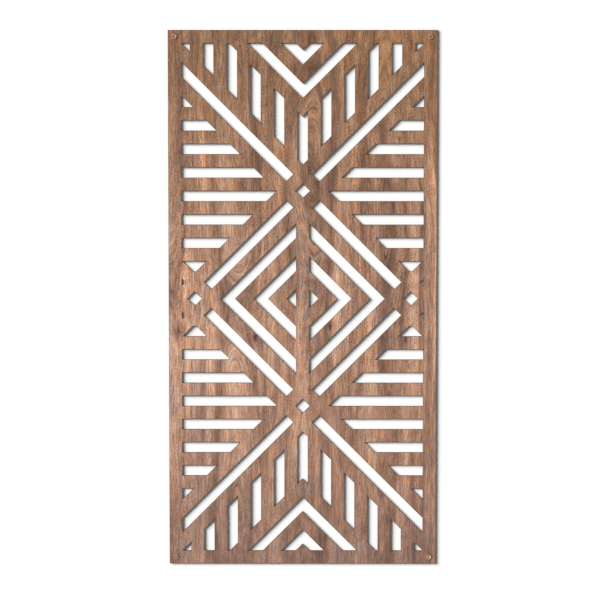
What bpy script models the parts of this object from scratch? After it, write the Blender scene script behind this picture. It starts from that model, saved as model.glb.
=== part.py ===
"""Pierced walnut screen panel: a thin upright board cut right through with a geometric lattice, and the
four domed brass screws that hold it at its corners.

The panel stands in the XZ plane, +Z up, with its front facing -Y. The origin is the centre of its flat
back face, which rests against whatever the screws hold it to. Units are metres.

The lattice is mirrored left to right and top to bottom. Four small square nodes, turned on their
corners, lie on the centre lines. Slots of one width run from them at 45 degrees, and the fields
between hold upright slots, level slots and nested rhombi, all spaced by the same slot and rib.
"""

import math

import bmesh
import bpy

# Panel
WIDTH = 0.610
HEIGHT = 1.220
THICKNESS = 0.006

# Lattice
BORDER = 0.030
RIB = 0.030
SLOT = 0.0234
NODE_DISTANCE = 0.246
FIELD_STEPS = 3
SMALLEST_OPENING = 20e-6

# Screws
HEAD_RADIUS = 0.0068
HEAD_EDGE = 0.0007
HEAD_DOME = 0.0019
SHANK_RADIUS = 0.0021
RECESS_LENGTH = 0.0052
RECESS_WIDTH = 0.0012
RECESS_DEPTH = 0.0013
HOLE_CLEARANCE = 0.0003
SEAT_GAP = 0.0003
TIP_SETBACK = 0.0003

# Fineness of the turned shapes
HEAD_SIDES = 32
DOME_STEPS = 6
HOLE_SIDES = 32

# How far a cutter runs past the face that it cuts
CUT_OVERRUN = 0.002

# Finishes: base colour, roughness, metallic
WALNUT = ((0.33, 0.19, 0.12), 0.55, 0.0)
AGED_BRASS = ((0.42, 0.27, 0.14), 0.38, 1.0)

# Sizes that follow from the ones above
PITCH = RIB + SLOT
DIAGONAL_PITCH = PITCH * math.sqrt(2)
HALF_SLOT = SLOT / 2
HALF_DIAGONAL = SLOT / math.sqrt(2)
NODE_CLEARANCE = math.sqrt(2) * (HALF_SLOT + RIB)
INNER_HALF_WIDTH = WIDTH / 2 - BORDER
INNER_HALF_HEIGHT = HEIGHT / 2 - BORDER
HOLE_RADIUS = SHANK_RADIUS + HOLE_CLEARANCE
FRONT = -THICKNESS

# Directions that a band of the lattice is measured along, as (x, z)
ACROSS = (1, 0)
UP = (0, 1)
OUT_AND_UP = (1, 1)
IN_AND_UP = (-1, 1)


def clear_scene():
    """Remove every object, so that the model starts from nothing."""
    for item in list(bpy.data.objects):
        bpy.data.objects.remove(item, do_unlink=True)


def make_material(name, finish):
    """Return a Principled material with the finish's colour, roughness and metallic value."""
    colour, roughness, metallic = finish
    material = bpy.data.materials.new(name)
    material.use_nodes = True
    shader = material.node_tree.nodes["Principled BSDF"]
    shader.inputs["Base Color"].default_value = (*colour, 1.0)
    shader.inputs["Roughness"].default_value = roughness
    shader.inputs["Metallic"].default_value = metallic
    return material


def add_object(name, mesh_data, material=None):
    """Turn a bmesh into a named object with outward faces, and free the bmesh."""
    bmesh.ops.recalc_face_normals(mesh_data, faces=mesh_data.faces)
    mesh = bpy.data.meshes.new(name)
    mesh_data.to_mesh(mesh)
    mesh_data.free()
    if material:
        mesh.materials.append(material)
    item = bpy.data.objects.new(name, mesh)
    bpy.context.scene.collection.objects.link(item)
    return item


def add_prism(mesh_data, outline, near, far):
    """Add the closed prism that an outline in XZ sweeps from y = near to y = far."""
    corners = [mesh_data.verts.new((x, near, z)) for x, z in outline]
    base = mesh_data.faces.new(corners)
    swept = bmesh.ops.extrude_face_region(mesh_data, geom=[base], use_keep_orig=True)
    moved = [part for part in swept["geom"] if isinstance(part, bmesh.types.BMVert)]
    bmesh.ops.translate(mesh_data, verts=moved, vec=(0, far - near, 0))


def cut_away(item, cutter):
    """Subtract the cutter from the object, and keep the cutter out of the model."""
    boolean = item.modifiers.new("Cut by " + cutter.name, "BOOLEAN")
    boolean.operation = "DIFFERENCE"
    boolean.solver = "EXACT"
    boolean.object = cutter
    cutter.hide_render = True
    cutter.display_type = "WIRE"


# Lattice outlines, worked out in the quarter of the panel where x and z are positive

def measure(point, direction):
    """Return how far a point lies along a direction."""
    return point[0] * direction[0] + point[1] * direction[1]


def clip(outline, direction, limit):
    """Keep the part of a convex outline that lies no further than the limit along the direction."""
    kept = []
    for start, end in zip(outline, outline[1:] + outline[:1]):
        start_excess = measure(start, direction) - limit
        end_excess = measure(end, direction) - limit
        if start_excess <= 0:
            kept.append(start)
        if start_excess * end_excess < 0:
            share = start_excess / (start_excess - end_excess)
            kept.append(tuple(s + share * (e - s) for s, e in zip(start, end)))
    return kept


def area(outline):
    """Return the area that an outline encloses."""
    pairs = zip(outline, outline[1:] + outline[:1])
    return abs(sum(x0 * z1 - x1 * z0 for (x0, z0), (x1, z1) in pairs)) / 2


def opening(*bands):
    """Return the outline where bands cross inside the border; each is (direction, low, high)."""
    outline = [
        (0, 0),
        (INNER_HALF_WIDTH, 0),
        (INNER_HALF_WIDTH, INNER_HALF_HEIGHT),
        (0, INNER_HALF_HEIGHT),
    ]
    for direction, low, high in bands:
        backwards = tuple(-part for part in direction)
        outline = clip(outline, direction, high)
        outline = clip(outline, backwards, -low)
    return outline


def centred(direction, middle, half):
    """Return the band that lies within half of the middle along a direction."""
    return (direction, middle - half, middle + half)


def node_squares():
    """Two square nodes on their corners: on the upright centre line and on the level one."""
    top = opening(
        centred(OUT_AND_UP, NODE_DISTANCE, HALF_DIAGONAL),
        centred(IN_AND_UP, NODE_DISTANCE, HALF_DIAGONAL),
    )
    side = opening(
        centred(OUT_AND_UP, NODE_DISTANCE, HALF_DIAGONAL),
        centred(IN_AND_UP, -NODE_DISTANCE, HALF_DIAGONAL),
    )
    return [top, side]


def diagonal_slots():
    """Slots at 45 degrees that line up with the nodes and stop a rib short of them."""
    past_node = NODE_DISTANCE + NODE_CLEARANCE
    short_of_node = NODE_DISTANCE - NODE_CLEARANCE
    between_nodes = opening(
        centred(OUT_AND_UP, NODE_DISTANCE, HALF_DIAGONAL),
        (IN_AND_UP, -short_of_node, short_of_node),
    )
    from_top_node = opening(
        centred(IN_AND_UP, NODE_DISTANCE, HALF_DIAGONAL),
        (OUT_AND_UP, past_node, HEIGHT),
    )
    from_side_node = opening(
        centred(IN_AND_UP, -NODE_DISTANCE, HALF_DIAGONAL),
        (OUT_AND_UP, past_node, HEIGHT),
    )
    return [between_nodes, from_top_node, from_side_node]


def upright_slots():
    """Upright slots over the top node, between its diagonal and the lowest chevron."""
    low = NODE_DISTANCE + NODE_CLEARANCE
    high = NODE_DISTANCE + FIELD_STEPS * DIAGONAL_PITCH - NODE_CLEARANCE
    return [
        opening(centred(ACROSS, step * PITCH, HALF_SLOT), (IN_AND_UP, low, high))
        for step in range(math.ceil(WIDTH / PITCH))
    ]


def chevrons():
    """V-shaped slots under the top border, above the upright slots."""
    return [
        opening(centred(IN_AND_UP, NODE_DISTANCE + step * DIAGONAL_PITCH, HALF_DIAGONAL))
        for step in range(FIELD_STEPS, math.ceil(HEIGHT / DIAGONAL_PITCH))
    ]


def level_slots():
    """Level slots at the side, stacked from the side node's diagonals up to the long diagonal."""
    highest_start = NODE_DISTANCE - HALF_SLOT
    steps = math.ceil(HEIGHT / PITCH)
    reach = NODE_DISTANCE - NODE_CLEARANCE
    return [
        opening(
            centred(UP, highest_start + step * PITCH, HALF_SLOT),
            (OUT_AND_UP, NODE_DISTANCE + NODE_CLEARANCE, WIDTH + HEIGHT),
            (IN_AND_UP, -reach, reach),
        )
        for step in range(-steps, steps)
    ]


def nested_rhombi():
    """Sides of the rhombi nested between the four nodes, parted by the central rib."""
    return [
        opening(
            centred(OUT_AND_UP, NODE_DISTANCE - step * DIAGONAL_PITCH, HALF_DIAGONAL),
            (ACROSS, RIB / 2, INNER_HALF_WIDTH),
        )
        for step in range(1, math.ceil(NODE_DISTANCE / DIAGONAL_PITCH))
    ]


def mirrored(outline, axis):
    """Return an outline with its mirror image across x = 0 (axis 0) or z = 0 (axis 1).

    Where one side of the outline lies on the mirror line, the two halves make one outline.
    """
    def flip(point):
        return tuple(-value if place == axis else value for place, value in enumerate(point))

    image = [flip(point) for point in reversed(outline)]
    on_line = [place for place, point in enumerate(outline) if point[axis] == 0]
    if len(on_line) < 2:
        return [outline, image]
    side_starts = next(
        place for place in on_line if (place + 1) % len(outline) in on_line
    )
    turned = outline[side_starts + 1:] + outline[:side_starts + 1]
    other_half = [flip(point) for point in reversed(turned[1:-1])]
    return [turned + other_half]


def lattice_outlines():
    """Return the outline of every opening of the whole panel."""
    quarter = (
        node_squares() + diagonal_slots() + upright_slots() + chevrons() + level_slots() + nested_rhombi()
    )
    large_enough = [outline for outline in quarter if area(outline) > SMALLEST_OPENING]
    upper_half = [whole for outline in large_enough for whole in mirrored(outline, 0)]
    return [whole for outline in upper_half for whole in mirrored(outline, 1)]


# Panel

def circle(radius, sides):
    """Return the points of a circle about the origin of the XZ plane."""
    angles = [2 * math.pi * side / sides for side in range(sides)]
    return [(radius * math.cos(angle), radius * math.sin(angle)) for angle in angles]


def screw_places():
    """Return a name and the (x, z) place of each screw, in the middle of the border at each corner."""
    out = WIDTH / 2 - BORDER / 2
    up = HEIGHT / 2 - BORDER / 2
    return {
        "top_left": (-out, up),
        "top_right": (out, up),
        "bottom_left": (-out, -up),
        "bottom_right": (out, -up),
    }


def build_panel():
    """Build the board, cut through by the lattice and by a hole for each screw."""
    board = bmesh.new()
    half_width = WIDTH / 2
    half_height = HEIGHT / 2
    corners = [
        (-half_width, -half_height),
        (half_width, -half_height),
        (half_width, half_height),
        (-half_width, half_height),
    ]
    add_prism(board, corners, FRONT, 0)
    panel = add_object("panel", board, make_material("walnut", WALNUT))

    cuts = bmesh.new()
    hole = circle(HOLE_RADIUS, HOLE_SIDES)
    holes = [[(x + px, z + pz) for px, pz in hole] for x, z in screw_places().values()]
    for outline in lattice_outlines() + holes:
        add_prism(cuts, outline, FRONT - CUT_OVERRUN, CUT_OVERRUN)
    cut_away(panel, add_object("panel_openings", cuts))


# Screws

def screw_profile():
    """Return the screw's turned profile as (radius, y), from the shank's tip to the top of the dome."""
    seat = FRONT - SEAT_GAP
    rim = seat - HEAD_EDGE
    tip = -TIP_SETBACK
    profile = [(0, tip), (SHANK_RADIUS, tip), (SHANK_RADIUS, seat), (HEAD_RADIUS, seat)]
    for step in range(DOME_STEPS + 1):
        angle = math.pi / 2 * step / DOME_STEPS
        profile.append((HEAD_RADIUS * math.cos(angle), rim - HEAD_DOME * math.sin(angle)))
    profile[-1] = (0, rim - HEAD_DOME)
    return profile


def turned_mesh(profile, sides):
    """Turn a (radius, y) profile whose ends lie on the axis into a closed round body about Y."""
    body = bmesh.new()
    points = [body.verts.new((radius, y, 0)) for radius, y in profile]
    edges = [body.edges.new(pair) for pair in zip(points, points[1:])]
    bmesh.ops.spin(
        body, geom=points + edges, axis=(0, 1, 0), cent=(0, 0, 0), angle=2 * math.pi, steps=sides
    )
    bmesh.ops.remove_doubles(body, verts=body.verts, dist=1e-6)
    return body


def cross_outline(length, width):
    """Return the outline of an upright cross whose arms have the given length and width."""
    tip = length / 2
    side = width / 2
    outline = []
    for turn in range(4):
        cosine, sine = ((1, 0), (0, 1), (-1, 0), (0, -1))[turn]
        for x, z in ((side, -side), (tip, -side), (tip, side)):
            outline.append((x * cosine - z * sine, x * sine + z * cosine))
    return outline


def build_screws():
    """Build the four screws, each with its driver recess, in the panel's corner holes."""
    material = make_material("aged_brass", AGED_BRASS)
    crown = FRONT - SEAT_GAP - HEAD_EDGE - HEAD_DOME
    for corner, (x, z) in screw_places().items():
        screw = add_object("screw_" + corner, turned_mesh(screw_profile(), HEAD_SIDES), material)
        screw.data.shade_smooth()
        screw.data.set_sharp_from_angle(angle=math.radians(40))
        recess = bmesh.new()
        add_prism(
            recess, cross_outline(RECESS_LENGTH, RECESS_WIDTH), crown - CUT_OVERRUN, crown + RECESS_DEPTH
        )
        cutter = add_object("recess_" + corner, recess)
        for item in (screw, cutter):
            item.location = (x, 0, z)
        cut_away(screw, cutter)


def main():
    clear_scene()
    build_panel()
    build_screws()


main()
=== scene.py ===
"""Looks of the pierced walnut screen panel: veneered board with scorched cut edges, and brass screws.

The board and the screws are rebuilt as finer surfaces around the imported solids, in metres, with the
front facing -Y and +Z up. The stage is a white wall close behind the panel and a pale floor below it,
lit softly from the upper left, and the camera stands where the photograph was taken from.
"""

import logging
import math
from dataclasses import dataclass, field
from enum import Enum

import bpy
import numpy as np
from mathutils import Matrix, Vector
from mathutils.geometry import tessellate_polygon


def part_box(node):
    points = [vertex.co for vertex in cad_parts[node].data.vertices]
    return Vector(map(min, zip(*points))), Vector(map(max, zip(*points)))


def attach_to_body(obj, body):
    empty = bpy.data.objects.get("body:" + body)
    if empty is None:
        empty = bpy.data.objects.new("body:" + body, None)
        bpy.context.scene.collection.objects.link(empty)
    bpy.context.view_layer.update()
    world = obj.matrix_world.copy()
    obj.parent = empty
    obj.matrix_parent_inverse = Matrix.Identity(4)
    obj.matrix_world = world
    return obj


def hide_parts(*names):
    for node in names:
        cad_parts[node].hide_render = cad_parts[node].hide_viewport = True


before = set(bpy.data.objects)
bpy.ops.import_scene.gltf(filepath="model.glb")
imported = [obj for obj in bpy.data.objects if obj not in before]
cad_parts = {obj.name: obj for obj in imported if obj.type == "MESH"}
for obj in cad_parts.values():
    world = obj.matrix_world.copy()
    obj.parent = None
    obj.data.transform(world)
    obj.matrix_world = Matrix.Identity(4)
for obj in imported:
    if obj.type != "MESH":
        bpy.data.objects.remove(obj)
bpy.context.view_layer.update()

LOG = logging.getLogger("screen_panel")

MM = 0.001
BODY = "root"
Tree = bpy.types.NodeTree
# Where a value in a material comes from: a socket, or a node, which stands for its first output
Source = bpy.types.NodeSocket | bpy.types.Node


# Colour and node helpers

def linear(code: str) -> tuple[float, float, float, float]:
    """Turn an sRGB hex colour into linear red, green, blue and a full alpha.

    Each channel c becomes c / 12.92 below 0.04045 and ((c + 0.055) / 1.055) ** 2.4 above it.

    Args:
        code: The colour as "#rrggbb".

    Returns:
        The linear colour, ready for a colour socket.
    """
    channels = np.array([int(code[start:start + 2], 16) for start in (1, 3, 5)]) / 255.0
    straight = np.where(channels <= 0.04045, channels / 12.92, ((channels + 0.055) / 1.055) ** 2.4)
    return (*straight.tolist(), 1.0)


def add_node(tree: Tree, kind: str, inputs: dict | None = None, **settings: object) -> bpy.types.Node:
    """Add a node, set its properties, and fill its inputs with values or links.

    Args:
        tree: The node tree that the node goes into.
        kind: The node's Blender class name.
        inputs: Input name or number to a plain value, or to the source that is linked to it.
        settings: The node's own properties.

    Returns:
        The new node.
    """
    node = tree.nodes.new(kind)
    for name, value in settings.items():
        setattr(node, name, value)
    for key, value in (inputs or {}).items():
        if isinstance(value, bpy.types.Node):
            tree.links.new(value.outputs[0], node.inputs[key])
        elif isinstance(value, bpy.types.NodeSocket):
            tree.links.new(value, node.inputs[key])
        else:
            node.inputs[key].default_value = value
    return node


def new_material(name: str) -> tuple[bpy.types.Material, Tree]:
    """Make an empty node material.

    Args:
        name: The material's name.

    Returns:
        The material and its node tree.
    """
    material = bpy.data.materials.new(name)
    material.use_nodes = True
    material.node_tree.nodes.clear()
    return material, material.node_tree


# Finishes

@dataclass(frozen=True)
class GrainLayer:
    """One scale of the veneer's figure: a noise of a real size, with a number that no other layer has."""

    across: float
    along: float
    number: float
    octaves: float
    weight: float = 1.0


@dataclass(frozen=True)
class Oval:
    """A soft upright oval on the veneer: its middle, and how far it reaches across and up."""

    across: float
    up: float
    reach_across: float
    reach_up: float


@dataclass(frozen=True)
class Patch(Oval):
    """An oval whose colour is multiplied towards a tint. A tint value over 1 lightens."""

    tint: tuple[float, float, float]


@dataclass(frozen=True)
class KnotShade:
    """A dark shade about every pin knot, with its reach counted in the knot's radii."""

    radii_across: float
    radii_up: float
    tint: tuple[float, float, float]


@dataclass(frozen=True)
class Knot:
    """A pin knot: a small dark fleck that the grain bends round."""

    across: float
    up: float
    radius: float
    depth: float

    def oval(self, radii_across: float, radii_up: float) -> Oval:
        """Return the oval about the knot that reaches so many of its radii across and up."""
        return Oval(self.across, self.up, radii_across * self.radius, radii_up * self.radius)


@dataclass(frozen=True)
class WalnutVeneer:
    """Black walnut veneer, crown cut, laid as slip-matched leaves, sanded and oiled: satin, fine streaks.

    The panel is laid with leaves of one width side by side. Each is the next slice of the same log, so
    its figure nearly repeats. A leaf is a plane cut beside the log's heart, so a growth ring of radius r
    crosses it where r = sqrt(a * a + d * d), with a the distance from the heart line and d the depth of
    the cut, which changes slowly up the leaf. Rings then run straight near the leaf's sides and close
    into arches at its middle. Bands, streaks, lines and fibres are noises read on r and stretched up the
    leaf. Fibres and flecks darken the colour at the pores and lighten it with a painted sheen, a little
    more in the upper half. Hue wanders between orange-tan and purple-brown in soft blotches about a
    centimetre wide. Near a cut the laser's smoke darkens the face. Fibres and flecks are drawn about
    three times as coarse as real ones, so that they show at the picture's scale.
    """

    name: str = "walnut_veneer_oiled"
    dark: str = "#684a38"
    middle: str = "#926d57"
    light: str = "#b68e72"
    smoke: str = "#3a251a"
    contrast: float = 1.0
    roughness: float = 0.5
    streak_gloss: float = 0.25
    ior: float = 1.48
    leaf_width: float = 172 * MM
    leaf_middle: float = 7 * MM
    leaf_change: float = 0.35
    heart: float = 12 * MM
    heart_sway: float = 60 * MM
    cut_depth: float = 16 * MM
    cut_swing: float = 150 * MM
    side_blend: float = 25 * MM
    side_change: float = 0.8
    sway: GrainLayer = GrainLayer(170 * MM, 420 * MM, 1.0, 1.5)
    swing: GrainLayer = GrainLayer(600 * MM, 460 * MM, 2.0, 1.0)
    bands: GrainLayer = GrainLayer(20 * MM, 520 * MM, 3.0, 0.0, 1.25)
    streaks: GrainLayer = GrainLayer(10.3 * MM, 190 * MM, 4.0, 0.0, 0.76)
    lines: GrainLayer = GrainLayer(2.9 * MM, 60 * MM, 5.0, 1.0, 0.78)
    fibres: GrainLayer = GrainLayer(1.9 * MM, 28 * MM, 6.0, 1.0, 1.6)
    flecks: GrainLayer = GrainLayer(1.7 * MM, 3.2 * MM, 7.0, 1.0, 1.6)
    mottle: GrainLayer = GrainLayer(16 * MM, 22 * MM, 8.0, 2.0, 0.45)
    hue: GrainLayer = GrainLayer(10 * MM, 16 * MM, 9.0, 0.0)
    row_step: float = 7.31
    depth_step: float = 3.17
    grain_strength: tuple[float, float] = (0.88, 1.14)
    grain_heights: tuple[float, float] = (-0.25, 0.05)
    grain_dark: tuple[float, float, float] = (0.55, 0.46, 0.40)
    # Lightens the fibres: lighter wood with a painted sheen on it
    grain_light_and_sheen: tuple[float, float, float] = (1.45, 1.54, 1.60)
    grain_relief: float = 0.05 * MM
    grain_bump: float = 0.6
    hue_reach: float = 0.2
    orange_tan: tuple[float, float, float] = (1.10, 0.99, 0.87)
    purple_brown: tuple[float, float, float] = (0.92, 0.98, 1.10)
    smoke_blotch: float = 4 * MM
    smoke_span: tuple[float, float] = (0.3, 0.7)
    smoke_falls: tuple[float, float] = (1.7, 4.0)
    panel_patches: tuple[Patch, ...] = ()
    leaf_patches: tuple[Patch, ...] = ()
    knots: tuple[Knot, ...] = ()
    knot_shades: tuple[KnotShade, ...] = (
        KnotShade(1.8, 4.4, (0.20, 0.15, 0.13)),
        KnotShade(6.5, 9.0, (0.66, 0.62, 0.68)),
    )
    knot_bend: tuple[float, float] = (4.0, 12.0)
    knot_pull: float = 0.75

    def _region(self, tree: Tree, place: Source, oval: Oval) -> Source:
        """Return a factor that is 1 in an oval's middle and fades smoothly to 0 at its reach.

        Args:
            tree: The material's node tree.
            place: Coordinates with x across and z up.
            oval: The oval.

        Returns:
            The factor's source.
        """
        centred = add_node(tree, "ShaderNodeMapping", {
            "Vector": place,
            "Location": (oval.across, 0, oval.up),
            "Scale": (oval.reach_across, 1, oval.reach_up),
        }, vector_type="TEXTURE")
        ball = add_node(tree, "ShaderNodeTexGradient", {"Vector": centred}, gradient_type="SPHERICAL")
        return add_node(tree, "ShaderNodeMapRange", {"Value": ball.outputs["Fac"]},
                        interpolation_type="SMOOTHSTEP")

    def _leaf(self, tree: Tree, place: Source) -> tuple[Source, Source, Source, Source]:
        """Return where a point lies on its own leaf.

        Across the leaf runs from minus to plus half its width, and starts again at each joint. Its
        number, scaled down, is a depth in the log, so that noises change a little from leaf to leaf.

        Args:
            tree: The material's node tree.
            place: Object coordinates.

        Returns:
            Sources of the place on the leaf (x across, z up), of x, of z, and of the leaf's depth.
        """
        parts = add_node(tree, "ShaderNodeSeparateXYZ", {0: place})
        centred = add_node(tree, "ShaderNodeMath", {0: parts.outputs["X"], 1: self.leaf_middle},
                           operation="SUBTRACT")
        across = add_node(tree, "ShaderNodeMath", {
            0: centred, 1: self.leaf_width / 2, 2: -self.leaf_width / 2,
        }, operation="WRAP")
        rest = add_node(tree, "ShaderNodeMath", {0: centred, 1: across}, operation="SUBTRACT")
        depth = add_node(tree, "ShaderNodeMath", {0: rest, 1: self.leaf_change / self.leaf_width},
                         operation="MULTIPLY")
        up = parts.outputs["Z"]
        on_leaf = add_node(tree, "ShaderNodeCombineXYZ", {"X": across, "Z": up})
        return on_leaf, across, up, depth

    def _noise(self, tree: Tree, across: Source, up: Source, depth: Source, layer: GrainLayer) -> Source:
        """Return a layer's noise, centred on 0, with grains of the layer's size.

        Each layer reads the noise some steps further on, by its number, so that no two look alike.

        Args:
            tree: The material's node tree.
            across: Source of the place across the grain.
            up: Source of the place along the grain.
            depth: Source of the leaf's depth in the log.
            layer: The layer.

        Returns:
            The noise's source.
        """
        column = add_node(tree, "ShaderNodeMath", {0: across, 1: 1 / layer.across}, operation="MULTIPLY")
        row = add_node(tree, "ShaderNodeMath", {
            0: up, 1: 1 / layer.along, 2: layer.number * self.row_step,
        }, operation="MULTIPLY_ADD")
        slice_depth = add_node(tree, "ShaderNodeMath", {0: depth, 1: layer.number * self.depth_step},
                               operation="ADD")
        vector = add_node(tree, "ShaderNodeCombineXYZ", {"X": column, "Y": slice_depth, "Z": row})
        noise = add_node(tree, "ShaderNodeTexNoise", {
            "Vector": vector, "Scale": 1.0, "Detail": layer.octaves,
        })
        return add_node(tree, "ShaderNodeMath", {0: noise.outputs["Fac"], 1: 0.5}, operation="SUBTRACT")

    def _ring(self, tree: Tree, place: Source, across: Source, up: Source,
              depth: Source) -> tuple[Source, Source]:
        """Return the growth ring's radius at a point, and the depth that the streaks are read at.

        The heart line sways up the leaf, the cut's depth swings, and the rings spread round each knot.
        The depth grows from the heart's left side to its right, so that the two sides don't mirror.

        Args:
            tree: The material's node tree.
            place: Object coordinates.
            across: Source of the place across the leaf.
            up: Source of the height.
            depth: Source of the leaf's depth in the log.

        Returns:
            Sources of the radius and of the depth.
        """
        sway = self._noise(tree, across, up, depth, self.sway)
        swing = self._noise(tree, across, up, depth, self.swing)
        off_heart = add_node(tree, "ShaderNodeMath", {0: across, 1: self.heart}, operation="SUBTRACT")
        off_heart = add_node(tree, "ShaderNodeMath", {0: sway, 1: self.heart_sway, 2: off_heart},
                             operation="MULTIPLY_ADD")
        panel_x = add_node(tree, "ShaderNodeSeparateXYZ", {0: place}).outputs["X"]
        for knot in self.knots:
            near = self._region(tree, place, knot.oval(*self.knot_bend))
            aside = add_node(tree, "ShaderNodeMath", {0: panel_x, 1: knot.across}, operation="SUBTRACT")
            pull = add_node(tree, "ShaderNodeMath", {0: near, 1: -self.knot_pull}, operation="MULTIPLY")
            off_heart = add_node(tree, "ShaderNodeMath", {0: aside, 1: pull, 2: off_heart},
                                 operation="MULTIPLY_ADD")
        cut = add_node(tree, "ShaderNodeMath", {0: swing, 1: self.cut_swing, 2: self.cut_depth},
                       operation="MULTIPLY_ADD")
        flat = add_node(tree, "ShaderNodeCombineXYZ", {"X": off_heart, "Y": cut})
        radius = add_node(tree, "ShaderNodeVectorMath", {0: flat}, operation="LENGTH").outputs["Value"]
        side = add_node(tree, "ShaderNodeMapRange", {
            "Value": off_heart, "From Min": -self.side_blend, "From Max": self.side_blend,
            "To Max": self.side_change,
        })
        return radius, add_node(tree, "ShaderNodeMath", {0: side, 1: depth}, operation="ADD")

    def material(self) -> bpy.types.Material:
        """Make the veneer's material.

        Returns:
            The material.
        """
        material, tree = new_material(self.name)
        place = add_node(tree, "ShaderNodeTexCoord").outputs["Object"]
        on_leaf, across, up, leaf_depth = self._leaf(tree, place)
        radius, depth = self._ring(tree, place, across, up, leaf_depth)
        bands = self._noise(tree, radius, up, depth, self.bands)
        streaks = self._noise(tree, radius, up, depth, self.streaks)
        lines = self._noise(tree, radius, up, depth, self.lines)
        fibres = self._noise(tree, radius, up, depth, self.fibres)
        flecks = self._noise(tree, across, up, depth, self.flecks)
        mottle = self._noise(tree, across, up, leaf_depth, self.mottle)
        hue = self._noise(tree, across, up, leaf_depth, self.hue)

        tone = self._weighed(tree, 0.5, (
            (bands, self.bands), (streaks, self.streaks), (lines, self.lines), (mottle, self.mottle),
        ))
        grain = self._weighed(tree, 0.0, ((fibres, self.fibres), (flecks, self.flecks)))
        colour = self._grained(tree, tone, grain, up)
        colour = self._tinted(tree, colour, place, on_leaf, hue)
        colour = self._smoked(tree, colour, place)
        relief = add_node(tree, "ShaderNodeMath", {0: fibres, 1: flecks}, operation="ADD")
        bump = add_node(tree, "ShaderNodeBump", {
            "Height": relief, "Distance": self.grain_relief, "Strength": self.grain_bump,
        })
        # Lighter streaks are a little smoother
        rough = add_node(tree, "ShaderNodeMath", {0: streaks, 1: -self.streak_gloss, 2: self.roughness},
                         operation="MULTIPLY_ADD")
        shader = add_node(tree, "ShaderNodeBsdfPrincipled", {
            "Base Color": colour,
            "Roughness": rough,
            "IOR": self.ior,
            "Normal": bump,
        })
        add_node(tree, "ShaderNodeOutputMaterial", {"Surface": shader})
        return material

    def _weighed(self, tree: Tree, start: float, layers: tuple[tuple[Source, GrainLayer], ...]) -> Source:
        """Return a start value plus each layer's noise times its weight and the contrast.

        Args:
            tree: The material's node tree.
            start: The value to add to.
            layers: Each noise's source and its layer.

        Returns:
            The sum's source.
        """
        total = start
        for noise, layer in layers:
            total = add_node(tree, "ShaderNodeMath", {
                0: noise, 1: layer.weight * self.contrast, 2: total,
            }, operation="MULTIPLY_ADD")
        return total

    def _grained(self, tree: Tree, tone: Source, grain: Source, up: Source) -> Source:
        """Return the wood's colour: a ramp over the tone, darkened at the fine grain's pores and
        lightened by its painted sheen.

        Args:
            tree: The material's node tree.
            tone: Source of the tone, dark at 0 and light at 1.
            grain: Source of the fine grain, centred on 0.
            up: Source of the height.

        Returns:
            The colour's source.
        """
        ramp = add_node(tree, "ShaderNodeValToRGB", {"Fac": tone})
        stops = ramp.color_ramp.elements
        stops[0].color = linear(self.dark)
        stops[1].color = linear(self.light)
        stops.new(0.5).color = linear(self.middle)
        strength = add_node(tree, "ShaderNodeMapRange", {
            "Value": up, "From Min": self.grain_heights[0], "From Max": self.grain_heights[1],
            "To Min": self.grain_strength[0], "To Max": self.grain_strength[1],
        })
        grain = add_node(tree, "ShaderNodeMath", {0: grain, 1: strength, 2: 0.5},
                         operation="MULTIPLY_ADD")
        # Fine grain darkens the colour at the pores and lightens it with a painted sheen along the
        # fibres, changing red a little less than blue
        pores_and_sheen = add_node(tree, "ShaderNodeMix", {
            "Factor": grain, 6: (*self.grain_dark, 1.0), 7: (*self.grain_light_and_sheen, 1.0),
        }, data_type="RGBA").outputs[2]
        return add_node(tree, "ShaderNodeMix", {
            "Factor": 1.0, 6: ramp, 7: pores_and_sheen,
        }, data_type="RGBA", blend_type="MULTIPLY").outputs[2]

    def _tinted(self, tree: Tree, colour: Source, place: Source, on_leaf: Source, hue: Source) -> Source:
        """Return the colour with its wandering hue, and shaded by the patches and the knots.

        Args:
            tree: The material's node tree.
            colour: The wood's colour source.
            place: Object coordinates.
            on_leaf: Source of the place on the leaf.
            hue: Source of the hue's noise.

        Returns:
            The new colour's source.
        """
        shades = []
        for tint, reach in ((self.orange_tan, self.hue_reach), (self.purple_brown, -self.hue_reach)):
            shades.append((tint, add_node(tree, "ShaderNodeMapRange", {"Value": hue, "From Max": reach})))
        for patches, where in ((self.panel_patches, place), (self.leaf_patches, on_leaf)):
            for patch in patches:
                shades.append((patch.tint, self._region(tree, where, patch)))
        for knot in self.knots:
            for shade in self.knot_shades:
                near = self._region(tree, place, knot.oval(shade.radii_across, shade.radii_up))
                factor = add_node(tree, "ShaderNodeMath", {0: near, 1: knot.depth}, operation="MULTIPLY")
                shades.append((shade.tint, factor))
        for tint, factor in shades:
            colour = add_node(tree, "ShaderNodeMix", {
                "Factor": factor, 6: colour, 7: (*tint, 1.0),
            }, data_type="RGBA", blend_type="MULTIPLY").outputs[2]
        return colour

    def _smoked(self, tree: Tree, colour: Source, place: Source) -> Source:
        """Return the colour darkened towards the cut edges, in an uneven line under two millimetres wide.

        The smoke falls off as the scorch value to a power, which wanders in small blotches.

        Args:
            tree: The material's node tree.
            colour: The face's colour source.
            place: Object coordinates.

        Returns:
            The new colour's source.
        """
        edge = add_node(tree, "ShaderNodeAttribute", attribute_name="scorch").outputs["Fac"]
        blotch = add_node(tree, "ShaderNodeTexNoise", {
            "Vector": place, "Scale": 1 / self.smoke_blotch, "Detail": 2.0,
        }).outputs["Fac"]
        power = add_node(tree, "ShaderNodeMapRange", {
            "Value": blotch, "From Min": self.smoke_span[0], "From Max": self.smoke_span[1],
            "To Min": self.smoke_falls[0], "To Max": self.smoke_falls[1],
        })
        fall = add_node(tree, "ShaderNodeMath", {0: edge, 1: power}, operation="POWER")
        return add_node(tree, "ShaderNodeMix", {
            "Factor": fall, 6: colour, 7: linear(self.smoke),
        }, data_type="RGBA").outputs[2]


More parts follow.
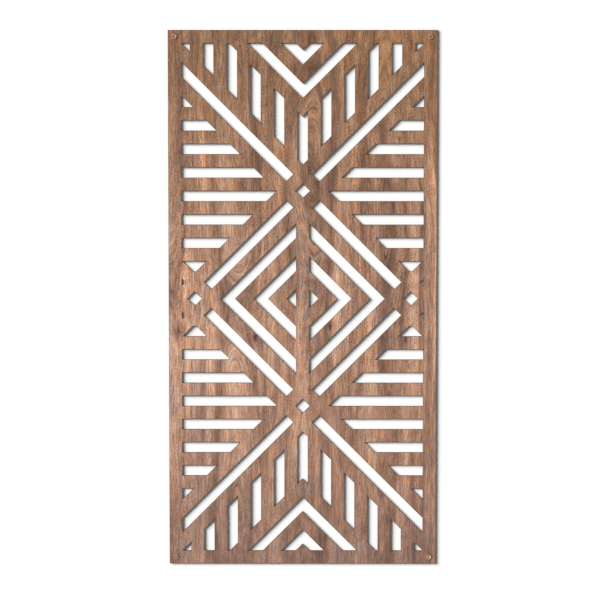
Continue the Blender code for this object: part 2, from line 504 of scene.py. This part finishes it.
@dataclass(frozen=True)
class ScorchedPly:
    """Walnut-faced plywood cut by a laser: dark, dry, charred end, with the plies and glue lines showing.

    The plies are bands across the board's thickness, and the beam leaves fine upright ridges along the
    cut, which follow the distance along the outline held in the UV map. Tones under char_below are char.
    """

    name: str = "scorched_plywood_edge"
    char: str = "#241811"
    toasted: str = "#5b3d29"
    char_below: float = 0.3
    ply_thickness: float = 1.2 * MM
    ply_tones: tuple[float, float] = (0.15, 0.75)
    ridge_spacing: float = 0.9 * MM
    ridge_length: float = 25 * MM
    ridge_relief: float = 0.15 * MM
    ridge_bump: float = 0.7
    ridge_weight: float = 0.6
    roughness: float = 0.85

    def material(self) -> bpy.types.Material:
        """Make the cut edge's material.

        Returns:
            The material.
        """
        material, tree = new_material(self.name)
        place = add_node(tree, "ShaderNodeTexCoord").outputs["Object"]
        depth = add_node(tree, "ShaderNodeSeparateXYZ", {0: place}).outputs["Y"]
        plies = add_node(tree, "ShaderNodeMath", {0: depth, 1: self.ply_thickness}, operation="PINGPONG")
        ply_tone = add_node(tree, "ShaderNodeMapRange", {
            "Value": plies, "From Max": self.ply_thickness,
            "To Min": self.ply_tones[0], "To Max": self.ply_tones[1],
        }, interpolation_type="SMOOTHSTEP")
        along = add_node(tree, "ShaderNodeUVMap", uv_map="along_cut")
        ridges_place = add_node(tree, "ShaderNodeMapping", {
            "Vector": along, "Scale": (1 / self.ridge_spacing, 1 / self.ridge_length, 1),
        })
        ridges = add_node(tree, "ShaderNodeTexNoise", {
            "Vector": ridges_place, "Scale": 1.0, "Detail": 2.0,
        }).outputs["Fac"]
        tone = add_node(tree, "ShaderNodeMath", {0: ridges, 1: self.ridge_weight, 2: ply_tone},
                        operation="MULTIPLY_ADD")
        ramp = add_node(tree, "ShaderNodeValToRGB", {"Fac": tone})
        stops = ramp.color_ramp.elements
        stops[0].position = self.char_below
        stops[0].color = linear(self.char)
        stops[1].color = linear(self.toasted)
        bump = add_node(tree, "ShaderNodeBump", {
            "Height": ridges, "Distance": self.ridge_relief, "Strength": self.ridge_bump,
        })
        shader = add_node(tree, "ShaderNodeBsdfPrincipled", {
            "Base Color": ramp,
            "Roughness": self.roughness,
            "Normal": bump,
        })
        add_node(tree, "ShaderNodeOutputMaterial", {"Surface": shader})
        return material


@dataclass(frozen=True)
class AgedBrass:
    """Aged brass: dull brown-gold all over, scraped bright on the recess's walls, darkened on its floor
    by grime and painted shade.

    Tarnish gives way to rubbed metal over the wear span, where wear is the height on the head plus the
    spots. Grime and painted shade come in over a span of the recess's depth.
    """

    name: str = "brass_aged"
    rubbed: str = "#b19176"
    tarnish: str = "#79553e"
    grime_and_shade: str = "#3b2718"
    spot_size: float = 1.6 * MM
    spot_relief: float = 0.05 * MM
    spot_bump: float = 0.4
    spot_weight: float = 1.3
    wear_span: tuple[float, float] = (0.45, 1.7)
    grime_and_shade_span: tuple[float, float] = (0.45, 0.85)
    grime_and_shade_cover: float = 0.9
    scraped_from: float = 0.15
    dull_roughness: float = 0.8
    scraped_roughness: float = 0.4

    def material(self) -> bpy.types.Material:
        """Make the brass's material.

        Returns:
            The material.
        """
        material, tree = new_material(self.name)
        place = add_node(tree, "ShaderNodeTexCoord").outputs["Object"]
        worn = add_node(tree, "ShaderNodeAttribute", attribute_name="worn").outputs["Fac"]
        spots = add_node(tree, "ShaderNodeTexNoise", {
            "Vector": place, "Scale": 1 / self.spot_size, "Detail": 4.0, "Roughness": 0.6,
        }).outputs["Fac"]
        wear = add_node(tree, "ShaderNodeMath", {0: spots, 1: self.spot_weight, 2: worn},
                        operation="MULTIPLY_ADD")
        factor = add_node(tree, "ShaderNodeMapRange", {
            "Value": wear, "From Min": self.wear_span[0], "From Max": self.wear_span[1],
        })
        colour = add_node(tree, "ShaderNodeMix", {
            "Factor": factor, 6: linear(self.tarnish), 7: linear(self.rubbed),
        }, data_type="RGBA").outputs[2]
        driven = add_node(tree, "ShaderNodeAttribute", attribute_name="driven").outputs["Fac"]
        # Painted shade with some grime: the recess's floor darkens towards its deepest part
        floor = add_node(tree, "ShaderNodeMapRange", {
            "Value": driven, "From Min": self.grime_and_shade_span[0], "From Max": self.grime_and_shade_span[1],
            "To Max": self.grime_and_shade_cover,
        })
        colour = add_node(tree, "ShaderNodeMix", {
            "Factor": floor, 6: colour, 7: linear(self.grime_and_shade),
        }, data_type="RGBA").outputs[2]
        rough = add_node(tree, "ShaderNodeMapRange", {
            "Value": driven, "From Max": self.scraped_from,
            "To Min": self.dull_roughness, "To Max": self.scraped_roughness,
        })
        bump = add_node(tree, "ShaderNodeBump", {
            "Height": spots, "Distance": self.spot_relief, "Strength": self.spot_bump,
        })
        shader = add_node(tree, "ShaderNodeBsdfPrincipled", {
            "Base Color": colour,
            "Metallic": 1.0,
            "Roughness": rough,
            "Normal": bump,
        })
        add_node(tree, "ShaderNodeOutputMaterial", {"Surface": shader})
        return material


class Facing(Enum):
    """Which sides of a stage surface are seen."""

    BOTH = "both"
    FRONT_ONLY = "front only"


@dataclass(frozen=True)
class WhitePaint:
    """Matt white paint on the studio's surfaces: soft, even and without gloss."""

    name: str
    shade: str
    facing: Facing = Facing.BOTH

    def material(self) -> bpy.types.Material:
        """Make the paint's material, which on a front-only surface is clear from behind.

        Returns:
            The material.
        """
        material, tree = new_material(self.name)
        surface = add_node(tree, "ShaderNodeBsdfDiffuse", {"Color": linear(self.shade)})
        if self.facing is Facing.FRONT_ONLY:
            behind = add_node(tree, "ShaderNodeNewGeometry").outputs["Backfacing"]
            clear = add_node(tree, "ShaderNodeBsdfTransparent")
            surface = add_node(tree, "ShaderNodeMixShader", {0: behind, 1: surface, 2: clear})
        add_node(tree, "ShaderNodeOutputMaterial", {"Surface": surface})
        return material


# Mesh helpers

def mesh_object(
    name: str, points: np.ndarray, faces: list[np.ndarray], materials: list[bpy.types.Material],
    slots: np.ndarray | None = None,
) -> bpy.types.Object:
    """Make an object from points and faces.

    Args:
        name: The object's name.
        points: Points as an (n, 3) array in metres.
        faces: Arrays of point numbers, a row for each face, all of an array's with as many corners.
        materials: The object's materials.
        slots: A material number for each face, or None for all 0.

    Returns:
        The object, at the origin.
    """
    mesh = bpy.data.meshes.new(name)
    mesh.from_pydata(points.tolist(), [], [face for group in faces for face in group.tolist()])
    for material in materials:
        mesh.materials.append(material)
    if slots is not None:
        mesh.polygons.foreach_set("material_index", slots.astype(np.int32))
    mesh.update()
    item = bpy.data.objects.new(name, mesh)
    bpy.context.scene.collection.objects.link(item)
    return item


def add_values(mesh: bpy.types.Mesh, name: str, values: np.ndarray) -> None:
    """Store one number for each point of a mesh, for a material to read.

    Args:
        mesh: The mesh.
        name: The attribute's name.
        values: The numbers, one for each point.
    """
    attribute = mesh.attributes.new(name, "FLOAT", "POINT")
    attribute.data.foreach_set("value", values.astype(np.float32))


def ring_quads(rows: int, columns: int, first: int = 0) -> np.ndarray:
    """Return the quads of a grid of points that is closed along its columns and open along its rows.

    Args:
        rows: Number of point rows.
        columns: Points in each row, the last joined to the first.
        first: Number of the grid's first point.

    Returns:
        Point numbers as a ((rows - 1) * columns, 4) array.
    """
    row, column = np.meshgrid(np.arange(rows - 1), np.arange(columns), indexing="ij")
    beside = (column + 1) % columns
    corners = (row * columns + column, row * columns + beside,
               (row + 1) * columns + beside, (row + 1) * columns + column)
    return first + np.stack(corners, axis=-1).reshape(-1, 4)


# Board

@dataclass
class PiercedBoard:
    """The veneered board, cut through by the lattice, with eased and scorched arrises."""

    node: str = "panel"
    ease: float = 0.25 * MM
    ease_steps: int = 3
    smoke_reach: float = 1.8 * MM
    flatness: float = 0.01 * MM
    least_turn: float = 0.01
    front_finish: WalnutVeneer = field(default_factory=WalnutVeneer)
    back_finish: WalnutVeneer = field(default_factory=WalnutVeneer)
    edge_finish: ScorchedPly = field(default_factory=ScorchedPly)

    def outlines(self) -> list[np.ndarray]:
        """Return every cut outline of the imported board's front face, with the wood on a walker's left.

        Points within the flatness of each other are one. The front face's triangles share their inner
        edges in both directions, so an edge that is walked in one direction only lies on a cut. Such
        edges are linked end to end.

        Returns:
            Each outline as an (n, 2) array of x and z, the board's own outline first.
        """
        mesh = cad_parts[self.node].data
        points = np.empty(len(mesh.vertices) * 3)
        mesh.vertices.foreach_get("co", points)
        points = points.reshape(-1, 3)
        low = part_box(self.node)[0]
        mesh.calc_loop_triangles()
        corners = np.empty(len(mesh.loop_triangles) * 3, dtype=np.int64)
        mesh.loop_triangles.foreach_get("vertices", corners)
        corners = corners.reshape(-1, 3)
        in_front = np.all(points[corners, 1] < low.y + self.flatness, axis=1)
        steps = np.round(points[:, (0, 2)] / self.flatness).astype(np.int64)
        flat, numbers = np.unique(steps, axis=0, return_inverse=True)
        front = numbers.reshape(-1)[corners[in_front]]
        edges = np.concatenate([front[:, (0, 1)], front[:, (1, 2)], front[:, (2, 0)]])
        walked = set(map(tuple, edges.tolist()))
        following = {start: end for start, end in walked if (end, start) not in walked}
        outlines = []
        while following:
            start, current = following.popitem()
            chain = [start]
            while current != start:
                chain.append(current)
                current = following.pop(current)
            outlines.append(self._corners_only(flat[chain] * self.flatness))
        outlines.sort(key=lambda outline: -np.ptp(outline[:, 0]))
        return outlines

    def _corners_only(self, outline: np.ndarray) -> np.ndarray:
        """Drop the points that lie on a straight stretch of an outline.

        A point is a corner where the turn from the step before to the step after has a sine over
        least_turn.

        Args:
            outline: Points as an (n, 2) array.

        Returns:
            The corners alone.
        """
        before = outline - np.roll(outline, 1, axis=0)
        after = np.roll(outline, -1, axis=0) - outline
        turn = before[:, 0] * after[:, 1] - before[:, 1] * after[:, 0]
        lengths = np.linalg.norm(before, axis=1) * np.linalg.norm(after, axis=1)
        return outline[np.abs(turn) > self.least_turn * lengths]

    def _profile(self) -> tuple[np.ndarray, np.ndarray, np.ndarray]:
        """Return the section that is carried round each outline, from the front face to the back.

        It comes in along the front face, turns a quarter circle over the eased arris, goes down the
        wall, and does the same to the back. A point's inset is its distance into the wood.

        Returns:
            Insets, y values and scorch values, one of each for a point of the section.
        """
        low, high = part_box(self.node)
        turn = np.linspace(0, math.pi / 2, self.ease_steps + 1)
        inset = self.ease * (1 - np.sin(turn))
        drop = self.ease * (1 - np.cos(turn))
        insets = np.concatenate([[self.smoke_reach], inset, inset[::-1], [self.smoke_reach]])
        places = np.concatenate([[low.y], low.y + drop, high.y - drop[::-1], [high.y]])
        scorch = np.ones_like(insets)
        scorch[[0, -1]] = 0.0
        return insets, places, scorch

    def _rim(self, outline: np.ndarray) -> tuple[np.ndarray, np.ndarray]:
        """Carry the section round one outline, mitred at its corners.

        A corner moves into the wood along m = (a + b) / (1 + a.b), where a and b are the inward
        normals of the sides that meet there, so that both sides keep their distance.

        Args:
            outline: The outline's corners as an (n, 2) array of x and z.

        Returns:
            Points as a (section, corners, 3) array, and the distance walked to each corner.
        """
        step = np.roll(outline, -1, axis=0) - outline
        length = np.linalg.norm(step, axis=1)
        normal_after = np.stack([-step[:, 1], step[:, 0]], axis=1) / length[:, None]
        normal_before = np.roll(normal_after, 1, axis=0)
        dot = np.sum(normal_before * normal_after, axis=1, keepdims=True)
        mitre = (normal_before + normal_after) / (1 + dot)
        insets, places, _ = self._profile()
        flat = outline[None] + insets[:, None, None] * mitre[None]
        depth = np.broadcast_to(places[:, None], flat.shape[:2])
        points = np.stack([flat[..., 0], depth, flat[..., 1]], axis=-1)
        return points, np.concatenate([[0.0], np.cumsum(length)[:-1]])

    def build(self) -> bpy.types.Object:
        """Build the board as one closed mesh: a rim for each outline, and the two faces between them.

        Returns:
            The board's object.
        """
        insets, _, scorch = self._profile()
        rows = len(insets)
        rims = []
        quads = []
        walked = []
        first = 0
        for outline in self.outlines():
            points, distance = self._rim(outline)
            rims.append(points.reshape(-1, 3))
            quads.append(ring_quads(rows, len(outline), first)[:, ::-1])
            walked.append(np.tile(distance, rows))
            first += points.shape[0] * points.shape[1]
        front = self._face(rims, rows, 0)
        back = self._face(rims, rows, rows - 1)[:, ::-1]
        quads = np.concatenate(quads)
        points = np.concatenate(rims)
        scorch_values = np.concatenate([np.repeat(scorch, len(rim) // rows) for rim in rims])
        finishes = (self.front_finish, self.edge_finish, self.back_finish)
        item = mesh_object("walnut_board", points, [quads, front, back],
                           [finish.material() for finish in finishes],
                           self._slots(points[quads, 1], len(front), len(back)))
        add_values(item.data, "scorch", scorch_values)
        self._map_cut(item.data, np.concatenate(walked))
        return item

    def _face(self, rims: list[np.ndarray], rows: int, row: int) -> np.ndarray:
        """Fill one face of the board between one row of every rim.

        Args:
            rims: Each rim's points.
            rows: Rows of points in a rim.
            row: The row that borders the face.

        Returns:
            Triangles as an (n, 3) array of point numbers in the joined rims.
        """
        loops = []
        numbers = []
        first = 0
        for rim in rims:
            count = len(rim) // rows
            chosen = np.arange(row * count, (row + 1) * count)
            loops.append([Vector((x, z, 0.0)) for x, _, z in rim[chosen].tolist()])
            numbers.append(first + chosen)
            first += len(rim)
        numbers = np.concatenate(numbers)
        triangles = numbers[np.array(tessellate_polygon(loops))]
        points = np.concatenate(rims)[triangles]
        side_a = points[:, 1] - points[:, 0]
        side_b = points[:, 2] - points[:, 0]
        faces_back = (side_a[:, 2] * side_b[:, 0] - side_a[:, 0] * side_b[:, 2]) > 0
        triangles[faces_back] = triangles[faces_back][:, ::-1]
        return triangles

    def _slots(self, depth: np.ndarray, fronts: int, backs: int) -> np.ndarray:
        """Return each face's material number: 0 on the front, 1 on the cut walls and 2 on the back.

        Args:
            depth: The y values of each rim quad's corners.
            fronts: How many triangles the front face has.
            backs: How many triangles the back face has.

        Returns:
            The numbers, for the rims' quads, the front and the back in turn.
        """
        low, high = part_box(self.node)
        on_front = np.all(depth < low.y + self.flatness, axis=1)
        on_back = np.all(depth > high.y - self.flatness, axis=1)
        rim_slots = np.where(on_front, 0, np.where(on_back, 2, 1))
        return np.concatenate([rim_slots, np.zeros(fronts), np.full(backs, 2)])

    def _map_cut(self, mesh: bpy.types.Mesh, walked: np.ndarray) -> None:
        """Store the distance along the cut and the depth as a UV map, in metres.

        Args:
            mesh: The board's mesh.
            walked: The distance along its outline for each point.
        """
        corner_points = np.empty(len(mesh.loops), dtype=np.int64)
        mesh.loops.foreach_get("vertex_index", corner_points)
        depth = np.empty(len(mesh.vertices) * 3)
        mesh.vertices.foreach_get("co", depth)
        uv = np.stack([walked[corner_points], depth.reshape(-1, 3)[corner_points, 1]], axis=1)
        layer = mesh.uv_layers.new(name="along_cut")
        layer.data.foreach_set("uv", uv.reshape(-1).astype(np.float32))


# Screws

class Corner(Enum):
    """The panel's corners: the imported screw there, and the angle that it was driven to, in degrees."""

    TOP_LEFT = ("screw_top_left", 84.0)
    TOP_RIGHT = ("screw_top_right", 18.0)
    BOTTOM_LEFT = ("screw_bottom_left", 12.0)
    BOTTOM_RIGHT = ("screw_bottom_right", 68.0)

    def __init__(self, node: str, angle: float) -> None:
        """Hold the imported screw's name and the angle."""
        self.node = node
        self.angle = angle


@dataclass
class DomedScrew:
    """A domed screw with a cross recess, seated on the board, its threaded shank in the corner's hole."""

    corner: Corner
    finish: bpy.types.Material
    seat_gap: float = 0.3 * MM
    shank_radius: float = 2.1 * MM
    rim_height: float = 0.7 * MM
    rim_round: float = 0.25 * MM
    recess_half_length: float = 3.0 * MM
    recess_half_width: float = 0.75 * MM
    recess_draft: float = 1.9 * MM
    recess_depth: float = 1.3 * MM
    thread_depth: float = 0.35 * MM
    thread_pitch: float = 1.4 * MM
    thread_run_out: float = 0.8 * MM
    smooth_below: float = 35.0
    sides: int = 120
    dome_rows: int = 56
    shank_rows: int = 40

    def build(self) -> bpy.types.Object:
        """Build the screw as one closed turned surface about Y.

        Each point of the section goes round the axis, x = r cos a and z = r sin a. The cross recess
        lowers the dome by its depth inside the cross, with drafted walls.

        Returns:
            The screw's object.
        """
        low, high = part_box(self.corner.node)
        middle = (low + high) / 2
        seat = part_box("panel")[0].y - self.seat_gap
        radius, depth = self._section((high.x - low.x) / 2, low.y, seat, high.y)
        angle = np.linspace(0, 2 * math.pi, self.sides, endpoint=False)
        radius_grid, angle_grid = np.meshgrid(radius, angle, indexing="ij")
        depth_grid = np.repeat(depth[:, None], self.sides, axis=1)
        shank = slice(len(radius) - self.shank_rows, None)
        radius_grid[shank] -= self._groove(depth_grid[shank], angle_grid[shank], seat, high.y)
        x = radius_grid * np.cos(angle_grid)
        z = radius_grid * np.sin(angle_grid)
        sunk = self._recess(x, z)
        sunk[self.dome_rows:] = 0.0
        pole_sunk = float(self._recess(np.zeros(1), np.zeros(1))[0])
        grid = np.stack([x + middle.x, depth_grid + sunk, z + middle.z], axis=-1).reshape(-1, 3)
        poles = [[middle.x, low.y + pole_sunk, middle.z], [middle.x, high.y, middle.z]]
        points = np.concatenate([grid, poles])
        item = mesh_object("brass_" + self.corner.node, points, self._faces(len(radius)), [self.finish])
        item.data.shade_smooth()
        item.data.set_sharp_from_angle(angle=math.radians(self.smooth_below))
        add_values(item.data, "worn", np.clip((seat - points[:, 1]) / (seat - low.y), 0, 1))
        driven = np.concatenate([sunk.reshape(-1), [pole_sunk, 0.0]]) / self.recess_depth
        add_values(item.data, "driven", driven)
        return item

    def _section(self, head_radius: float, crown: float, seat: float,
                 tip: float) -> tuple[np.ndarray, np.ndarray]:
        """Return the turned section, from the crown over the dome, round the rim and down the shank.

        The dome is a quarter ellipse: y = rim + (crown - rim) * sqrt(1 - (r / head radius) ** 2).

        Args:
            head_radius: The head's radius.
            crown: The y value of the head's top.
            seat: The y value of the head's underside.
            tip: The y value of the shank's end.

        Returns:
            Radii and y values, one of each for a row of points.
        """
        rim = seat - self.rim_height
        share = np.linspace(0, 1, self.dome_rows + 1)[1:]
        radius = np.concatenate([
            head_radius * share, [head_radius, head_radius - self.rim_round],
            np.full(self.shank_rows, self.shank_radius),
        ])
        depth = np.concatenate([
            rim + (crown - rim) * np.sqrt(1 - share ** 2), [seat - self.rim_round, seat],
            np.linspace(seat, tip, self.shank_rows),
        ])
        return radius, depth

    def _groove(self, depth: np.ndarray, angle: np.ndarray, seat: float, tip: float) -> np.ndarray:
        """Return how deep the thread's groove is at places on the shank.

        It is a triangle wave of y / pitch + angle / one turn, which makes a helix, and it runs out
        towards the head and the tip.

        Args:
            depth: The places' y values.
            angle: The places' angles about the axis, in radians.
            seat: The y value of the head's underside.
            tip: The y value of the shank's end.

        Returns:
            The depth at each place, in metres.
        """
        turns = depth / self.thread_pitch + angle / (2 * math.pi)
        wave = np.abs(2 * (turns % 1.0) - 1)
        ends = np.clip(np.minimum(depth - seat, tip - depth) / self.thread_run_out, 0, 1)
        return self.thread_depth * wave * ends

    def _recess(self, x: np.ndarray, z: np.ndarray) -> np.ndarray:
        """Return how far the driver's cross lowers the crown at a place on the head.

        The cross is two crossed bars, turned by the screw's angle. With s the distance outside the nearer
        bar's half width and half length, negative inside it, the depth is the full depth times
        0.5 - s / draft, kept between 0 and 1, so the walls slope evenly through the bar's outline.

        Args:
            x: Places across, from the screw's axis.
            z: Places up, from the screw's axis.

        Returns:
            The depth at each place, in metres.
        """
        turn = math.radians(self.corner.angle)
        along = np.abs(x * math.cos(turn) + z * math.sin(turn))
        beside = np.abs(z * math.cos(turn) - x * math.sin(turn))
        outside = np.minimum(
            np.maximum(along - self.recess_half_length, beside - self.recess_half_width),
            np.maximum(beside - self.recess_half_length, along - self.recess_half_width),
        )
        return self.recess_depth * np.clip(0.5 - outside / self.recess_draft, 0, 1)

    def _faces(self, rows: int) -> list[np.ndarray]:
        """Return the screw's faces: a grid of quads, and a fan of triangles round each pole.

        Args:
            rows: Rows in the grid, whose points come before the crown's pole and the tip's pole.

        Returns:
            Arrays of point numbers for the quads, the crown's fan and the tip's fan.
        """
        column = np.arange(self.sides)
        beside = (column + 1) % self.sides
        crown_pole = np.full(self.sides, rows * self.sides)
        last = (rows - 1) * self.sides
        return [
            ring_quads(rows, self.sides)[:, ::-1],
            np.stack([crown_pole, column, beside], axis=1),
            np.stack([crown_pole + 1, last + beside, last + column], axis=1),
        ]


# Stage

@dataclass(frozen=True)
class SoftLight:
    """A soft even light, as from a large distant panel.

    It has the direction from the object to it, its strength in watts per square metre, and its
    apparent diameter in degrees.
    """

    name: str
    towards: tuple[float, float, float]
    strength: float
    spread: float

    def build(self) -> None:
        """Add the light to the scene."""
        data = bpy.data.lights.new(self.name, "SUN")
        data.energy = self.strength
        data.angle = math.radians(self.spread)
        light = bpy.data.objects.new(self.name, data)
        light.rotation_euler = Vector(self.towards).to_track_quat("Z", "Y").to_euler()
        bpy.context.scene.collection.objects.link(light)


@dataclass
class Studio:
    """White wall close behind the panel, pale floor below it, and soft light from the upper left."""

    wall_gap: float = 0.3 * MM
    wall_half_width: float = 3.2
    wall_height: float = 3.4
    wall_paint: WhitePaint = WhitePaint("white_wall_paint", "#f4f4f3", Facing.FRONT_ONLY)
    floor_drop: float = 0.75
    floor_half_size: float = 14.0
    floor_paint: WhitePaint = WhitePaint("pale_floor_paint", "#e9e8e6")
    lights: tuple[SoftLight, ...] = (
        SoftLight("key_upper_left", (-1.13, -1.0, 0.62), 4.66, 36.0),
        SoftLight("fill_back", (0.7, 1.0, 0.45), 2.2, 60.0),
    )
    room_light: float = 0.235
    room_shade: str = "#f4f6f8"
    seen_shade: str = "#f1f1f0"

    def build(self) -> None:
        """Build the wall, the floor, the lights and the surrounding light.

        The wall throws no shadow and the floor no light, so that neither changes the even light.
        """
        low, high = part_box("panel")
        z = low.z - self.floor_drop
        y = high.y + self.wall_gap
        side = self.wall_half_width
        top = z + self.wall_height
        wall = self._sheet("studio_wall", self.wall_paint,
                           [[-side, y, z], [side, y, z], [side, y, top], [-side, y, top]])
        side = self.floor_half_size
        floor = self._sheet("studio_floor", self.floor_paint,
                            [[-side, -side, z], [side, -side, z], [side, side, z], [-side, side, z]])
        wall.visible_shadow = False
        floor.visible_diffuse = False
        for light in self.lights:
            light.build()
        self._surround()

    def _sheet(self, name: str, paint: WhitePaint, corners: list[list[float]]) -> bpy.types.Object:
        """Return a painted sheet with four corners."""
        return mesh_object(name, np.array(corners), [np.array([[0, 1, 2, 3]])], [paint.material()])

    def _surround(self) -> None:
        """Give the scene a surround that looks pale to the camera and lights the object dimly."""
        world = bpy.data.worlds.new("studio_world")
        bpy.context.scene.world = world
        world.use_nodes = True
        tree = world.node_tree
        tree.nodes.clear()
        seen = add_node(tree, "ShaderNodeLightPath").outputs["Is Camera Ray"]
        dim = add_node(tree, "ShaderNodeBackground", {
            "Color": linear(self.room_shade), "Strength": self.room_light,
        })
        pale = add_node(tree, "ShaderNodeBackground", {"Color": linear(self.seen_shade), "Strength": 1.0})
        either = add_node(tree, "ShaderNodeMixShader", {0: seen, 1: dim, 2: pale})
        add_node(tree, "ShaderNodeOutputWorld", {"Surface": either})


@dataclass
class PhotographCamera:
    """The camera that the photograph was taken with: a long lens, looking a little down on the panel."""

    distance: float = 6.75
    azimuth: float = 0.28
    elevation: float = 5.1
    pixels_per_metre: float = 439.0
    picture_pixels: float = 600.0
    sensor_width: float = 36.0
    aim_across: float = -5.9 * MM
    aim_up: float = -2.75 * MM

    def build(self) -> bpy.types.Object:
        """Place the camera and make it the scene's.

        The lens is the one whose picture is picture_pixels / pixels_per_metre wide at the panel.

        Returns:
            The camera's object.
        """
        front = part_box("panel")[0].y
        aim = Vector((self.aim_across, front, self.aim_up))
        azimuth = math.radians(self.azimuth)
        elevation = math.radians(self.elevation)
        away = Vector((
            math.sin(azimuth) * math.cos(elevation),
            -math.cos(azimuth) * math.cos(elevation),
            math.sin(elevation),
        ))
        data = bpy.data.cameras.new("photograph_camera")
        data.sensor_width = self.sensor_width
        data.lens = self.sensor_width * self.distance * self.pixels_per_metre / self.picture_pixels
        camera = bpy.data.objects.new("photograph_camera", data)
        camera.location = aim + away * self.distance
        camera.rotation_euler = away.to_track_quat("Z", "Y").to_euler()
        bpy.context.scene.collection.objects.link(camera)
        bpy.context.scene.camera = camera
        return camera


def front_veneer() -> WalnutVeneer:
    """Lay the show face's veneer, with broad patches of tone, a painted pool of light among them, and pin
    knots.

    Returns:
        The finish.
    """
    panel_patches = (
        Patch(0.0, 0.66, 1.6, 0.62, (0.77, 0.72, 0.58)),
        Patch(0.0, -0.66, 1.6, 0.30, (0.74, 0.77, 0.91)),
        # Paler across the lower middle and on the left: a painted pool of light
        Patch(0.0, -0.24, 1.3, 0.40, (1.20, 1.22, 1.27)),
        Patch(-0.27, -0.13, 0.20, 0.48, (1.28, 1.33, 1.40)),
        Patch(0.0, 0.15, 0.05, 0.42, (0.86, 0.87, 0.90)),
        Patch(-0.292, 0.20, 0.024, 0.30, (0.78, 0.79, 0.81)),
        Patch(-0.300, -0.22, 0.019, 0.20, (0.72, 0.73, 0.75)),
        Patch(-0.272, -0.04, 0.030, 0.36, (1.38, 1.36, 1.32)),
        Patch(-0.234, -0.22, 0.028, 0.30, (0.68, 0.70, 0.74)),
        Patch(-0.234, 0.32, 0.025, 0.32, (1.24, 1.23, 1.20)),
        Patch(-0.184, 0.40, 0.030, 0.20, (0.82, 0.83, 0.86)),
        Patch(0.215, 0.47, 0.050, 0.20, (0.78, 0.79, 0.80)),
        Patch(0.188, -0.30, 0.030, 0.16, (1.34, 1.30, 1.26)),
        Patch(0.0, -0.44, 0.035, 0.12, (0.74, 0.78, 0.84)),
        Patch(-0.120, -0.45, 0.030, 0.07, (0.78, 0.80, 0.86)),
        Patch(-0.232, -0.43, 0.035, 0.14, (0.74, 0.75, 0.78)),
        Patch(0.2765, 0.20, 0.020, 0.34, (0.58, 0.58, 0.61)),
        Patch(0.301, 0.30, 0.022, 0.30, (1.36, 1.34, 1.30)),
        Patch(0.264, 0.48, 0.028, 0.24, (0.74, 0.75, 0.77)),
        Patch(0.249, 0.00, 0.018, 0.12, (0.72, 0.72, 0.75)),
        Patch(0.291, -0.13, 0.014, 0.10, (0.74, 0.74, 0.77)),
        Patch(0.188, -0.57, 0.035, 0.07, (1.28, 1.25, 1.22)),
        Patch(-0.184, -0.57, 0.030, 0.06, (1.20, 1.18, 1.16)),
        Patch(0.210, 0.62, 0.240, 0.34, (1.02, 0.97, 0.84)),
    )
    leaf_patches = (
        Patch(0.071, 0.075, 0.026, 0.30, (1.28, 1.25, 1.22)),
        Patch(-0.056, 0.34, 0.030, 0.26, (1.22, 1.18, 1.12)),
        Patch(-0.036, -0.07, 0.030, 0.28, (1.28, 1.24, 1.18)),
        Patch(0.007, 0.01, 0.036, 0.19, (0.74, 0.74, 0.80)),
        Patch(-0.062, 0.22, 0.018, 0.20, (1.22, 1.20, 1.18)),
    )
    knots = (
        Knot(-0.2827, -0.0755, 4 * MM, 0.95),
        Knot(-0.1084, -0.0895, 4 * MM, 1.0),
        Knot(0.0620, -0.0630, 4 * MM, 1.0),
        Knot(0.2347, -0.0890, 4 * MM, 0.8),
        Knot(0.1980, -0.2180, 3 * MM, 0.6),
        Knot(0.157, -0.538, 8 * MM, 0.35),
        Knot(-0.143, -0.526, 8 * MM, 0.3),
    )
    return WalnutVeneer(panel_patches=panel_patches, leaf_patches=leaf_patches, knots=knots)


def back_veneer() -> WalnutVeneer:
    """Lay the hidden face's veneer, plainer and more even than the show face's.

    Returns:
        The finish.
    """
    return WalnutVeneer(name="walnut_veneer_backing", dark="#6d4f3d", middle="#8c6a55", light="#a9836a",
                        contrast=0.8, roughness=0.62, cut_depth=60 * MM, smoke="#2c1b12")


def attach(item: bpy.types.Object, node: str) -> None:
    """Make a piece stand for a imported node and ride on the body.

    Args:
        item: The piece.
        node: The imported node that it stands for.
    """
    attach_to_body(item, BODY)
    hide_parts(node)
    LOG.info("%s: %d points, %d faces", item.name, len(item.data.vertices), len(item.data.polygons))


def main() -> None:
    logging.basicConfig(level=logging.INFO, format="%(name)s: %(message)s")
    PhotographCamera().build()
    board = PiercedBoard(front_finish=front_veneer(), back_finish=back_veneer()).build()
    attach(board, "panel")
    brass = AgedBrass().material()
    for corner in Corner:
        attach(DomedScrew(corner, brass).build(), corner.node)
    Studio().build()
    bpy.context.scene.view_settings.view_transform = "Standard"


if __name__ == "__main__":
    main()
